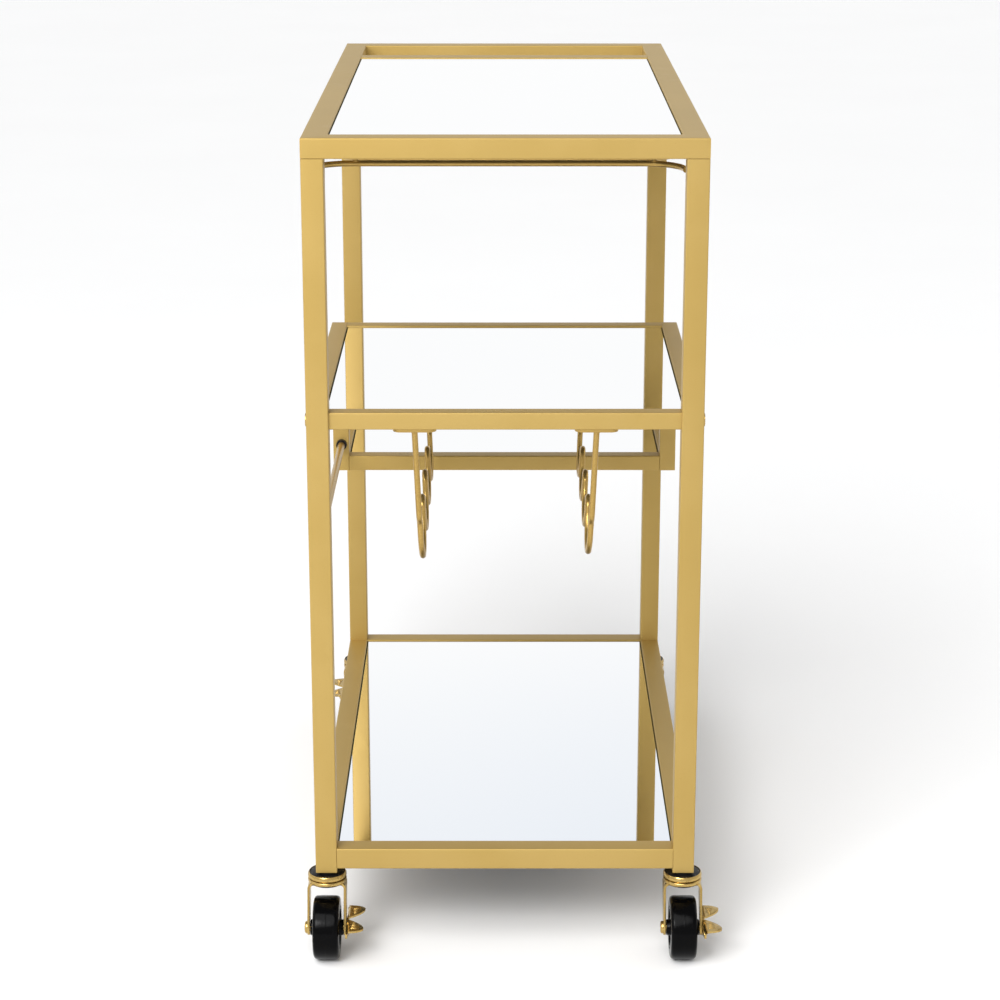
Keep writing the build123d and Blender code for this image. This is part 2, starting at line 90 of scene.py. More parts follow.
class Nodes:
    # what a material, a world and a geometry tree have in common
    def add(self, kind, settings=None, inputs=None, output=0):
        node = self.tree.nodes.new(kind)
        for key, value in (settings or {}).items():
            if key == "stops":
                self.setStops(node.color_ramp, value)
            else:
                setattr(node, key, value)
        for key, value in (inputs or {}).items():
            if isinstance(value, Value):
                self.tree.links.new(value.socket, node.inputs[key])
            else:
                node.inputs[key].default_value = value
        return Value(self, node.outputs[output]) if node.outputs else None

    def step(self, value, low, high):
        inputs = {"Value": value, "From Min": low, "From Max": high}
        return self.add("ShaderNodeMapRange", {"interpolation_type": "SMOOTHSTEP"}, inputs)

    def blend(self, share, first, second):
        settings = {"data_type": "RGBA", "blend_type": "MIX"}
        return self.add("ShaderNodeMix", settings, {0: share, 6: first, 7: second}, output=2)

    def setStops(self, ramp, stops):
        while len(ramp.elements) > 1:
            ramp.elements.remove(ramp.elements[0])
        for index, (place, shade) in enumerate(stops):
            stop = ramp.elements[0] if index == 0 else ramp.elements.new(place)
            stop.position = place
            stop.color = shade


class Finish(Nodes):
    # a material while it is being put together
    def __init__(self, name):
        self.material = bpy.data.materials.new(name)
        self.material.use_nodes = True
        self.tree = self.material.node_tree
        self.tree.nodes.clear()
        self.place = self.add("ShaderNodeTexCoord", output="Object")

    def noise(self, scale, detail=3.0, rough=0.55, stretch=None):
        place = self.place
        if stretch:
            place = self.add("ShaderNodeVectorMath", {"operation": "MULTIPLY"}, {0: place, 1: stretch})
        inputs = {"Vector": place, "Scale": scale, "Detail": detail, "Roughness": rough}
        return self.add("ShaderNodeTexNoise", {}, inputs)

    def bump(self, height, strength, distance):
        inputs = {"Strength": strength, "Distance": distance, "Height": height}
        return self.add("ShaderNodeBump", {}, inputs)

    def facing(self, axis):
        normal = self.add("ShaderNodeNewGeometry", output="Normal")
        return self.add("ShaderNodeSeparateXYZ", {}, {0: normal}, output=axis)

    def close(self, inputs):
        shader = self.add("ShaderNodeBsdfPrincipled", {}, inputs)
        self.add("ShaderNodeOutputMaterial", {}, {"Surface": shader})
        return self.material


class Shape(Nodes):
    # a geometry tree with named sizes, which turns a base mesh into a plain one
    def __init__(self, name, sizes):
        self.tree = bpy.data.node_groups.new(name, "GeometryNodeTree")
        face = self.tree.interface
        face.new_socket("Geometry", in_out="OUTPUT", socket_type="NodeSocketGeometry")
        face.new_socket("Geometry", in_out="INPUT", socket_type="NodeSocketGeometry")
        self.keys = {}
        for label, value in sizes.items():
            kind = "NodeSocketInt" if isinstance(value, int) else "NodeSocketFloat"
            socket = face.new_socket(label, in_out="INPUT", socket_type=kind)
            socket.default_value = value
            self.keys[label] = socket.identifier
        self.start = self.tree.nodes.new("NodeGroupInput")
        self.base = self.size("Geometry")

    def size(self, label):
        return Value(self, self.start.outputs[label])

    def close(self, geometry, finish):
        whole = self.add("GeometryNodeRealizeInstances", {}, {0: geometry})
        painted = self.add("GeometryNodeSetMaterial", {}, {"Geometry": whole, "Material": finish})
        end = self.tree.nodes.new("NodeGroupOutput")
        self.tree.links.new(painted.socket, end.inputs[0])

    def make(self, base, **sizes):
        piece = bpy.data.objects.new("making", base)
        bpy.context.scene.collection.objects.link(piece)
        step = piece.modifiers.new("shape", "NODES")
        step.node_group = self.tree
        for label, value in sizes.items():
            step[self.keys[label]] = value
        return takeMesh(piece)


def takeMesh(piece):
    # the evaluated shape as a plain mesh; the object it was made on goes
    evaluated = piece.evaluated_get(bpy.context.evaluated_depsgraph_get())
    mesh = bpy.data.meshes.new_from_object(evaluated)
    bpy.data.objects.remove(piece)
    return mesh


def colour(red, green, blue):
    return (red, green, blue, 1.0)


frameLook = {
    "tone": colour(0.415, 0.280, 0.078), "paler": colour(0.445, 0.305, 0.094),
    "speck": colour(0.32, 0.20, 0.050), "metal": 0.5, "rough": 0.42, "peel": 0.14,
    "cloudScale": 7.0, "flakeScale": 900.0, "peelScale": 260.0, "rubScale": 26.0,
}


def satinGold():
    # powder coat: orange peel, faint clouding, fine flake, and patches rubbed smoother
    f = Finish("satinGold")
    cloud = f.noise(frameLook["cloudScale"])
    flake = f.noise(frameLook["flakeScale"], 2.0)
    peel = f.noise(frameLook["peelScale"], 2.0)
    rub = f.step(f.noise(frameLook["rubScale"], 5.0, 0.65), 0.55, 0.78)
    tone = f.blend(f.step(cloud, 0.35, 0.7), frameLook["tone"], frameLook["paler"])
    tone = f.blend(f.step(flake, 0.62, 0.8) * 0.4, tone, frameLook["speck"])
    return f.close({
        "Base Color": tone, "Metallic": frameLook["metal"],
        "Roughness": frameLook["rough"] + 0.06 * cloud + 0.05 * flake - 0.06 * rub,
        "Specular IOR Level": 0.3, "Coat Weight": 0.04, "Coat Roughness": 0.3,
        "Normal": f.bump(0.6 * peel + 0.4 * flake, frameLook["peel"], 0.00025),
    })


wireLook = {
    "tone": colour(0.45, 0.295, 0.085), "deeper": colour(0.27, 0.16, 0.038),
    "metal": 0.8, "rough": 0.24,
    "drawScale": 14.0, "speckScale": 420.0,
}


def wireGold():
    # plated wire: draw marks along it and small dull specks
    f = Finish("wireGold")
    draw = f.noise(wireLook["drawScale"], stretch=(60.0, 6.0, 60.0))
    speck = f.step(f.noise(wireLook["speckScale"], 2.0), 0.66, 0.8)
    tone = f.blend(f.step(draw, 0.4, 0.75) * 0.5, wireLook["tone"], wireLook["deeper"])
    return f.close({
        "Base Color": tone, "Metallic": wireLook["metal"],
        "Roughness": wireLook["rough"] + 0.1 * draw + 0.12 * speck,
        "Normal": f.bump(draw + 0.5 * speck, 0.12, 0.0002),
    })


platedLook = {
    "tone": colour(0.50, 0.345, 0.115), "deeper": colour(0.25, 0.155, 0.045),
    "metal": 0.95, "rough": 0.20,
    "pressScale": 55.0, "pitScale": 700.0, "stainScale": 120.0,
}


def platedGold():
    # bright plating over pressed steel: pressing marks, fine pits and dark stains
    f = Finish("platedGold")
    press = f.noise(platedLook["pressScale"], 4.0, 0.6)
    pit = f.noise(platedLook["pitScale"], 2.0)
    stain = f.step(f.noise(platedLook["stainScale"], 5.0, 0.7), 0.5, 0.72)
    return f.close({
        "Base Color": f.blend(0.7 * stain, platedLook["tone"], platedLook["deeper"]),
        "Metallic": platedLook["metal"],
        "Roughness": platedLook["rough"] + 0.16 * stain + 0.06 * pit,
        "Normal": f.bump(0.5 * press + 0.2 * pit, 0.14, 0.0004),
    })


mirrorLook = {
    "silver": colour(0.955, 0.965, 0.975), "edge": colour(0.035, 0.075, 0.065),
    "backing": colour(0.10, 0.105, 0.11),
    "haze": 0.012, "edgeRough": 0.1, "backRough": 0.45, "topSmoother": 0.09,
}


def mirrorGlass():
    # silvered top, dark green ground edge, and sprayed backing underneath
    f = Finish("mirrorGlass")
    up = f.facing(2)
    top = up > 0.9
    under = up < -0.5
    smear = f.step(f.noise(5.0, 4.0, 0.6), 0.45, 0.8)
    spray = f.noise(600.0, 2.0)
    glass = f.blend(under, mirrorLook["edge"], mirrorLook["backing"])
    tone = f.blend(top, glass, mirrorLook["silver"])
    back = mirrorLook["backRough"] + 0.2 * spray
    front = mirrorLook["haze"] * smear - mirrorLook["topSmoother"]
    return f.close({
        "Base Color": tone, "Metallic": top,
        "Roughness": mirrorLook["edgeRough"] + under * back + top * front,
        "Normal": f.bump(spray * under, 0.3, 0.0002),
    })


wheelLook = {
    "tone": colour(0.0008, 0.0008, 0.001), "scuffed": colour(0.006, 0.006, 0.006),
    "rough": 0.14, "gloss": 0.07,
}


def glossBlack():
    # moulded plastic: gloss, faint flow lines, and scuffs where it rolls
    f = Finish("glossBlack")
    scuff = f.step(f.noise(5.0, 5.0, 0.7, stretch=(90.0, 30.0, 30.0)), 0.56, 0.8)
    fine = f.noise(500.0, 2.0)
    return f.close({
        "Base Color": f.blend(scuff * 0.6, wheelLook["tone"], wheelLook["scuffed"]),
        "Roughness": wheelLook["rough"] + 0.2 * scuff + 0.05 * fine,
        "Specular IOR Level": wheelLook["gloss"], "Normal": f.bump(fine + scuff, 0.08, 0.0002),
    })


mouldLook = {
    "tone": colour(0.004, 0.004, 0.005), "paler": colour(0.012, 0.011, 0.011),
    "rough": 0.26, "gloss": 0.2,
    "grainScale": 1200.0, "cloudScale": 60.0,
}


def mouldedBlack():
    # spark-eroded grain on plain black plastic
    f = Finish("mouldedBlack")
    grain = f.noise(mouldLook["grainScale"], 2.0)
    cloud = f.step(f.noise(mouldLook["cloudScale"]), 0.4, 0.8)
    return f.close({
        "Base Color": f.blend(cloud, mouldLook["tone"], mouldLook["paler"]),
        "Roughness": mouldLook["rough"] + 0.2 * grain,
        "Specular IOR Level": mouldLook["gloss"], "Normal": f.bump(grain, 0.3, 0.0002),
    })


zincLook = {
    "tone": colour(0.50, 0.50, 0.48), "paler": colour(0.68, 0.68, 0.67), "rough": 0.2,
    "markScale": 22.0, "spangleScale": 160.0,
}


def zincSteel():
    # bright zinc with turning marks and a soft spangle
    f = Finish("zincSteel")
    marks = f.noise(zincLook["markScale"], stretch=(8.0, 60.0, 60.0))
    spangle = f.step(f.noise(zincLook["spangleScale"], 4.0), 0.4, 0.7)
    return f.close({
        "Base Color": f.blend(spangle, zincLook["tone"], zincLook["paler"]), "Metallic": 1.0,
        "Roughness": zincLook["rough"] + 0.14 * marks, "Normal": f.bump(marks, 0.15, 0.0002),
    })


floorLook = {  # half its width in metres
    "half": 30.0, "tone": colour(0.89, 0.89, 0.89), "paler": colour(0.92, 0.92, 0.92),
    "rough": 0.6, "gloss": 0.1, "cloudScale": 1.5,
}


def studioFloor():
    # matt paper, faintly clouded
    f = Finish("studioFloor")
    cloud = f.noise(floorLook["cloudScale"])
    return f.close({
        "Base Color": f.blend(cloud, floorLook["tone"], floorLook["paler"]),
        "Roughness": floorLook["rough"], "Specular IOR Level": floorLook["gloss"],
    })


finishes = {
    "gold_frame": satinGold(), "gold_wire": wireGold(), "caster_gold": platedGold(),
    "mirror": mirrorGlass(), "wheel_black": glossBlack(), "hub_black": glossBlack(),
    "black_plastic": mouldedBlack(), "zinc_steel": zincSteel(),
}
print("finishes made:", len(finishes))


def bodyOf(node):
    for body, members in frame["record"]["behaviour"]["bodies"].items():
        if node in members:
            return body


def newPiece(name, mesh, nodes=(), slot=None):
    # links a finished mesh, and says what it rides on and which parts it stands for;
    # one that stands for none is fixed to the cart
    slot = slot or slotOf[nodes[0]]
    mesh.name = name
    mesh.materials.clear()
    mesh.materials.append(finishes[slot])
    piece = bpy.data.objects.new(name, mesh)
    bpy.context.scene.collection.objects.link(piece)
    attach(piece, bodyOf(nodes[0]) if nodes else "cart")
    if nodes:
        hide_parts(*nodes)


def smooth(bm, sharp):
    # smooth faces, and sharp edges where they turn by more than so many degrees
    for face in bm.faces:
        face.smooth = True
    limit = math.radians(sharp)
    for edge in bm.edges:
        edge.smooth = len(edge.link_faces) == 2 and edge.calc_face_angle(0.0) < limit


mergeWithin = {"made": 0.002 * mm, "cad": 0.004 * mm, "sheet": 0.05 * mm}  # points this near are one


def toMesh(bm, sharp=35):
    bmesh.ops.remove_doubles(bm, verts=bm.verts, dist=mergeWithin["made"])
    bmesh.ops.recalc_face_normals(bm, faces=bm.faces)
    smooth(bm, sharp)
    mesh = bpy.data.meshes.new("shape")
    bm.to_mesh(mesh)
    bm.free()
    return mesh


def joined(*meshes):
    bm = bmesh.new()
    for mesh in meshes:
        bm.from_mesh(mesh)
    whole = bpy.data.meshes.new("shape")
    bm.to_mesh(whole)
    bm.free()
    return whole


def moved(mesh, matrix):
    copy = mesh.copy()
    copy.transform(matrix)
    return copy


def onCart(x, y, z):
    # a place in metres from mm measured along the cart from its end rail
    return Vector((x, y + endRail, z)) * mm


def cornerMatrix(corner):
    x, y, turned = casterAt[corner]
    return Matrix.Translation(onCart(x, y, 0)) @ Matrix.Rotation(math.pi if turned else 0, 4, "Z")


def rounded(corners, steps=4):
    # a closed outline in mm from (x, y, radius) corners, each radius cut back along both sides
    line = []
    for index, (x, y, radius) in enumerate(corners):
        here = Vector((x, y))
        if not radius:
            line.append(here)
            continue
        before = Vector(corners[index - 1][:2]) - here
        after = Vector(corners[(index + 1) % len(corners)][:2]) - here
        start = here + before.normalized() * min(radius, before.length * 0.49)
        end = here + after.normalized() * min(radius, after.length * 0.49)
        for step in range(steps + 1):
            t = step / steps
            bow = here * 2 * t * (1 - t)
            line.append(start * (1 - t) ** 2 + bow + end * t ** 2)
    return line


def mirrored(corners):
    # adds the other half of an outline, from its last corner back to its first
    return corners + [(-x, y, radius) for x, y, radius in reversed(corners)]


def lathe(outline, steps, axis):
    # a closed ring from an outline of (along, out) points turned about the axle X or the stem Z
    bm = bmesh.new()
    rings = []
    for step in range(steps):
        angle = 2 * math.pi * step / steps
        out = Vector((0, math.cos(angle), math.sin(angle)))
        if axis == "Z":
            out = Vector((math.cos(angle), math.sin(angle), 0))
        along = Vector((1, 0, 0)) if axis == "X" else Vector((0, 0, 1))
        rings.append([bm.verts.new((along * a + out * r) * mm) for a, r in outline])
    for step in range(steps):
        one, two = rings[step], rings[(step + 1) % steps]
        for index in range(len(outline)):
            following = (index + 1) % len(outline)
            bm.faces.new((one[index], one[following], two[following], two[index]))
    return toMesh(bm, 40)


def sheet(rows, thick, edge):
    # pressed sheet metal over a grid of points, with its edges broken
    bm = bmesh.new()
    grid = [[bm.verts.new(Vector(point) * mm) for point in row] for row in rows]
    for one, two in zip(grid, grid[1:]):
        for a, b, c, d in zip(one, one[1:], two[1:], two):
            bm.faces.new((a, b, c, d))
    bmesh.ops.remove_doubles(bm, verts=bm.verts, dist=mergeWithin["sheet"])
    bmesh.ops.recalc_face_normals(bm, faces=bm.faces)
    flat = bpy.data.meshes.new("flat")
    bm.to_mesh(flat)
    bm.free()
    piece = bpy.data.objects.new("making", flat)
    bpy.context.scene.collection.objects.link(piece)
    solid = piece.modifiers.new("thick", "SOLIDIFY")
    solid.thickness, solid.offset, solid.use_even_offset = thick * mm, 0, True
    bevel = piece.modifiers.new("edge", "BEVEL")
    bevel.width, bevel.segments, bevel.angle_limit = edge * mm, 2, math.radians(50)
    bm = bmesh.new()
    bm.from_mesh(takeMesh(piece))
    return toMesh(bm, 50)


def skin(node, sharp=32):
    # the same surface with its corners welded, smooth across the rounded edges
    bm = bmesh.new()
    bm.from_mesh(frame["nodes"][node].data)
    bmesh.ops.remove_doubles(bm, verts=bm.verts, dist=mergeWithin["cad"])
    smooth(bm, sharp)
    mesh = bpy.data.meshes.new(node)
    bm.to_mesh(mesh)
    bm.free()
    newPiece(node + "_skin", mesh, (node,))


viewLook = {  # mm from the end rail and over the top, and degrees down
    "side": -5, "away": 2417, "top": 850, "over": 363, "tilt": 16.6, "lens": 92.0,
}


def makeCamera():
    data = bpy.data.cameras.new("camera")
    data.lens = viewLook["lens"]
    camera = bpy.data.objects.new("camera", data)
    camera.location = onCart(viewLook["side"], -viewLook["away"], viewLook["top"] + viewLook["over"])
    camera.rotation_euler = (math.radians(90 - viewLook["tilt"]), 0, 0)
    bpy.context.scene.collection.objects.link(camera)
    bpy.context.scene.camera = camera
    bpy.context.scene.view_settings.view_transform = "Standard"


lampLook = {  # place in metres, size in metres, watts
    "cameraLamp": ((-0.75, -1.85, 1.35), 0.7, 17.0),
    "leftLamp": ((-2.6, -0.4, 1.8), 1.6, 10.0),
    "rightLamp": ((2.8, 0.4, 2.0), 1.6, 8.0),
}
sunLook = {"high": 48, "round": -24, "soft": 50, "strength": 2.2, "away": 4}  # degrees and metres
aimHeight = 0.45  # metres, where the lamps look


def addLight(name, light, place, aim):
    holder = bpy.data.objects.new(name, light)
    holder.location = place
    holder.rotation_euler = (Vector(aim) - Vector(place)).to_track_quat("-Z", "Y").to_euler()
    bpy.context.scene.collection.objects.link(holder)


def makeLamps():
    for name, (place, size, watts) in lampLook.items():
        lamp = bpy.data.lights.new(name, "AREA")
        lamp.shape, lamp.size, lamp.energy = "DISK", size, watts
        addLight(name, lamp, place, (0, 0, aimHeight))
    sun = bpy.data.lights.new("broadLamp", "SUN")
    sun.energy, sun.angle = sunLook["strength"], math.radians(sunLook["soft"])
    high, turn = math.radians(sunLook["high"]), math.radians(sunLook["round"])
    out, up = sunLook["away"] * math.cos(high), sunLook["away"] * math.sin(high)
    addLight("broadLamp", sun, (out * math.sin(turn), -out * math.cos(turn), up), (0, 0, 0))


roomLook = {  # the heights are sines of the angle above the floor
    "wall": colour(0.80, 0.80, 0.80), "ceiling": colour(0.42, 0.42, 0.42), "wallTop": (0.48, 0.62),
    "glow": colour(1.0, 1.0, 1.0), "glowTo": 0.34, "haze": colour(0.87, 0.90, 0.945), "hazeFrom": 0.42,
    "behind": (0.1, 0.6), "cloudScale": 3.0, "waver": 0.2,
}


class Room(Nodes):
    # pale walls under a darker ceiling, and a bright wall behind the cart, where the mirrors look
    def __init__(self):
        world = bpy.data.worlds.new("room")
        world.use_nodes = True
        self.tree = world.node_tree
        self.tree.nodes.clear()
        way = self.add("ShaderNodeTexCoord", output="Generated")
        height = self.add("ShaderNodeSeparateXYZ", {}, {0: way}, output=2)
        behind = self.add("ShaderNodeSeparateXYZ", {}, {0: way}, output=1)
        inputs = {"Vector": way, "Scale": roomLook["cloudScale"], "Detail": 1.0}
        cloud = self.add("ShaderNodeTexNoise", {}, inputs)
        wavy = height + roomLook["waver"] * (cloud - 0.5)
        stops = ((roomLook["glowTo"], roomLook["glow"]), (roomLook["hazeFrom"], roomLook["haze"]))
        low = self.add("ShaderNodeValToRGB", {"stops": stops}, {"Fac": wavy})
        wall = self.blend(self.step(behind, *roomLook["behind"]), roomLook["wall"], low)
        tone = self.blend(self.step(height, *roomLook["wallTop"]), wall, roomLook["ceiling"])
        light = self.add("ShaderNodeBackground", {}, {"Color": tone, "Strength": 1.0})
        self.add("ShaderNodeOutputWorld", {}, {"Surface": light})
        bpy.context.scene.world = world


def makeFloor():
    bm = bmesh.new()
    bmesh.ops.create_grid(bm, x_segments=2, y_segments=2, size=floorLook["half"])
    mesh = bpy.data.meshes.new("floor")
    bm.to_mesh(mesh)
    bm.free()
    mesh.materials.append(studioFloor())
    plane = bpy.data.objects.new("floor", mesh)
    bpy.context.scene.collection.objects.link(plane)


makeCamera()
makeLamps()
Room()
makeFloor()
print("camera, lamps and floor set")


def wireTree():
    # round wire along the edges of the base mesh
    s = Shape("wireAlongPath", {"Radius": 0.003, "Sides": 20})
    path = s.add("GeometryNodeMeshToCurve", {}, {"Mesh": s.base})
    inputs = {"Resolution": s.size("Sides"), "Radius": s.size("Radius")}
    circle = s.add("GeometryNodeCurvePrimitiveCircle", {}, inputs)
    inputs = {"Curve": path, "Profile Curve": circle, "Fill Caps": True}
    s.close(s.add("GeometryNodeCurveToMesh", {}, inputs), finishes["gold_wire"])
    return s


def ringTree():
    # copies of the base mesh round a circle, each turned to face outward
    s = Shape("ringOfCopies", {"Count": 8, "Radius": 0.01})
    inputs = {"Vertices": s.size("Count"), "Radius": s.size("Radius")}
    circle = s.add("GeometryNodeMeshCircle", {}, inputs)
    place = s.add("GeometryNodeInputPosition")
    turn = s.add("FunctionNodeAlignRotationToVector", {"axis": "X"}, {"Vector": place})
    inputs = {"Points": circle, "Instance": s.base, "Rotation": turn}
    s.close(s.add("GeometryNodeInstanceOnPoints", {}, inputs), finishes["gold_wire"])
    return s


def rowTree():
    # copies of the base mesh in a row along Y, which shrink towards its start
    s = Shape("rowOfCopies", {"Count": 4, "Spacing": 0.004, "Smallest": 0.5})
    line = s.add("GeometryNodeMeshLine", {}, {"Count": s.size("Count"), "Offset": (0.0, 0.0, 0.0)})
    index = s.add("GeometryNodeInputIndex")
    along = s.add("ShaderNodeCombineXYZ", {}, {"Y": index * s.size("Spacing")})
    spread = s.add("GeometryNodeSetPosition", {}, {"Geometry": line, "Offset": along})
    growth = s.size("Smallest") + (1 - s.size("Smallest")) * (index / (s.size("Count") - 1))
    scale = s.add("ShaderNodeCombineXYZ", {}, {"X": growth, "Y": 1.0, "Z": 1.0})
    inputs = {"Points": spread, "Instance": s.base, "Scale": scale}
    s.close(s.add("GeometryNodeInstanceOnPoints", {}, inputs), finishes["caster_gold"])
    return s


wireShape = wireTree()
ringShape = ringTree()
rowShape = rowTree()


def arc(centre, radius, start, end, steps):
    # points round a centre, in degrees
    line = []
    for step in range(steps + 1):
        angle = math.radians(start + (end - start) * step / steps)
        across, up = radius * math.cos(angle), radius * math.sin(angle)
        line.append((centre[0] + across, centre[1] + up))
    return line


def wire(points, radius, closed=False):
    path = bpy.data.meshes.new("path")
    edges = [(index, index + 1) for index in range(len(points) - 1)]
    if closed:
        edges.append((len(points) - 1, 0))
    path.from_pydata(points, edges, [])
    bm = bmesh.new()
    bm.from_mesh(wireShape.make(path, Radius=radius * mm))
    return toMesh(bm, 50)


def drop(size, fineness=1):
    # a round drop with half sizes in mm
    bm = bmesh.new()
    matrix = Matrix.Diagonal((*[half * mm for half in size], 1.0))
    bmesh.ops.create_icosphere(bm, subdivisions=fineness, radius=1.0, matrix=matrix)
    return toMesh(bm, 180)


weldLook = {"bead": (0.9, 1.0, 0.8), "fewest": 8, "perRadius": 4}


def weldRing(radius):
    # the ripples of a weld run round a wire
    beads = max(weldLook["fewest"], int(radius * weldLook["perRadius"]))
    return ringShape.make(drop(weldLook["bead"]), Count=beads, Radius=radius * mm)


cradleLook = {  # mm, and degrees of lean towards the middle
    "front": {"across": 90, "depth": 42.0, "lean": 2.5},
    "back": {"across": -89, "depth": 46.5, "lean": -2.5},
    "crest": 465, "crestRadius": 9.5, "pitch": 93, "bottles": 4, "near": 10, "far": 398, "top": 560,
    "wire": 3.0, "bendRise": 14.0, "bendReach": 13.0, "weldOut": 0.3, "weldDrop": 0.4,
}


def scallopLine(depth):
    # crest, trough, crest and so on, as (along, height) points in mm
    look = cradleLook
    half = look["pitch"] / 2
    turn = 2 * math.degrees(math.atan(depth / half))
    rise = look["crestRadius"] * (1 - math.cos(math.radians(turn)))
    run = look["crestRadius"] * math.sin(math.radians(turn))
    troughRadius = ((half - run) ** 2 + (depth - rise) ** 2) / (2 * (depth - rise))
    top = look["crest"] - look["crestRadius"]
    low = look["crest"] - depth + troughRadius
    line = []
    for bottle in range(look["bottles"]):
        start = look["near"] + bottle * look["pitch"]
        line += arc((start, top), look["crestRadius"], 90, 90 - turn, 8)[1 if bottle else -1:]
        line += arc((start + half, low), troughRadius, 270 - turn, 270 + turn, 28)[1:-1]
        line += arc((start + look["pitch"], top), look["crestRadius"], 90 + turn, 90, 8)
    return line[:-8], turn


def hangerBend(along, flank, way, turn):
    # from the foot of an upright hanger, sideways into the outer flank of an end trough
    reach = cradleLook["bendReach"]
    foot = Vector((along, cradleLook["crest"] + cradleLook["bendRise"]))
    flank = Vector(flank)
    up = Vector((-way * math.cos(math.radians(turn)), math.sin(math.radians(turn))))
    pulls = (foot, foot - Vector((0, reach)), flank + up * reach, flank)
    line = []
    for step in range(16):
        t = step / 16
        shares = ((1 - t) ** 3, 3 * t * (1 - t) ** 2, 3 * t ** 2 * (1 - t), t ** 3)
        line.append(sum((pull * share for pull, share in zip(pulls, shares)), Vector((0, 0))))
    return line


def makeCradle(side):
    look = cradleLook
    row, turn = scallopLine(look[side]["depth"])
    line = [(look["near"], look["top"])] + hangerBend(look["near"], row[0], 1, turn) + row
    line += hangerBend(look["far"], row[-1], -1, turn)[::-1] + [(look["far"], look["top"])]
    hang = Matrix.Translation(onCart(look[side]["across"], 0, look["top"]))
    hang = hang @ Matrix.Rotation(math.radians(look[side]["lean"]), 4, "Y")
    mesh = wire([Vector((0, y, z - look["top"])) * mm for y, z in line], look["wire"])
    newPiece("cradle_" + side + "_wire", moved(mesh, hang), ("bottle_cradle_" + side,))
    ring = weldRing(look["wire"] + look["weldOut"])
    welds = []
    for y in (look["near"], look["far"]):
        welds.append(moved(ring, hang @ Matrix.Translation(Vector((0, y, -look["weldDrop"])) * mm)))
    newPiece("cradle_" + side + "_welds", joined(*welds), slot="gold_wire")


stopRodLook = {"across": -185.5, "height": 442, "near": 22, "far": 392, "radius": 4.0}


def makeStopRod():
    look = stopRodLook
    ends = [onCart(look["across"], y, look["height"]) for y in (look["near"], look["far"])]
    newPiece("stop_rod_bar", wire(ends, look["radius"]), ("bottle_stop_rod",))


rackLook = {
    "height": 806, "wire": 3.0, "first": 125, "gap": 34, "loop": 70, "channels": 3,
    "flare": 40, "frontBend": 138, "backBend": -153, "front": 176, "back": -172, "hanger": 149,
    "weld": 2.6, "weldSink": 0.3,
}


def makeRack():
    # two flared side wires, and a closed loop between each pair of stem channels
    look = rackLook
    hanger = look["hanger"]
    pitch = look["gap"] + look["loop"]
    last = look["first"] + look["gap"] + (look["channels"] - 1) * pitch
    meshes = []
    joints = [(-hanger, look["first"]), (-hanger, last)]
    for y, way in ((look["first"], -1), (last, 1)):
        centre = y + way * look["flare"]
        line = arc((look["backBend"], centre), look["flare"], -135 * way, -90 * way, 8)
        line += arc((look["frontBend"], centre), look["flare"], -90 * way, 0, 16)
        meshes.append(wire([onCart(x, along, look["height"]) for x, along in line], look["wire"]))
        angle = math.asin((hanger - look["frontBend"]) / look["flare"])
        joints.append((hanger, y + way * look["flare"] * (1 - math.cos(angle))))
    radius = look["loop"] / 2
    for channel in range(look["channels"] - 1):
        y = look["first"] + look["gap"] + radius + channel * pitch
        line = arc((look["front"] - radius, y), radius, -90, 90, 32)
        line += arc((look["back"] + radius, y), radius, 90, 270, 32)
        points = [onCart(x, along, look["height"]) for x, along in line]
        meshes.append(wire(points, look["wire"], closed=True))
        for x, middle in ((hanger, look["front"] - radius), (-hanger, look["back"] + radius)):
            offset = math.sqrt(radius ** 2 - (x - middle) ** 2)
            joints += [(x, y - offset), (x, y + offset)]
    newPiece("stemware_wire_set", joined(*meshes), ("stemware_wires",))
    ring = weldRing(look["weld"])
    height = look["height"] + look["wire"] - look["weldSink"]
    welds = [moved(ring, Matrix.Translation(onCart(x, y, height))) for x, y in joints]
    newPiece("stemware_welds", joined(*welds), slot="gold_wire")


makeCradle("front")
makeCradle("back")
makeStopRod()
makeRack()
print("cradles, stop rod and stemware rack made")


tyreLook = {
    "radius": 33.0, "half": 13.5, "seat": 19.0, "shoulder": 4.8, "flat": 5.0, "steps": 128,
    "groove": 0.7, "grooveFrom": 1.6, "grooveTo": 3.8, "slope": 0.5, "edge": 0.3, "seam": 0.12,
}


def tyreMesh():
    # a wide tread with round shoulders, a parting line round it and a groove in each wall
    look = tyreLook
    half, full, seat, edge = look["half"], look["radius"], look["seat"], look["edge"]
    start, end, floor = seat + look["grooveFrom"], seat + look["grooveTo"], look["groove"] - half
    corners = [
        (-half, seat, 0), (-half, start, edge), (floor, start + look["slope"], edge),
        (floor, end - look["slope"], edge), (-half, end, edge),
        (-half, full - 0.5, look["shoulder"]), (-look["flat"], full - look["seam"], 3.0),
        (-0.45, full - look["seam"], 0.1), (-0.15, full, 0.05),
    ]
    return lathe(rounded(mirrored(corners), 6), look["steps"], "X")


hubLook = {
    "half": 12.5, "radius": 19.0, "boss": 17.0, "bossRadius": 8.0, "bore": 4.07,
    "web": 9.5, "lip": 16.5,
    "ribs": 6, "ribWide": 2.2, "ribRise": 1.0, "ribFall": 0.6, "ribTaper": 0.6,
}


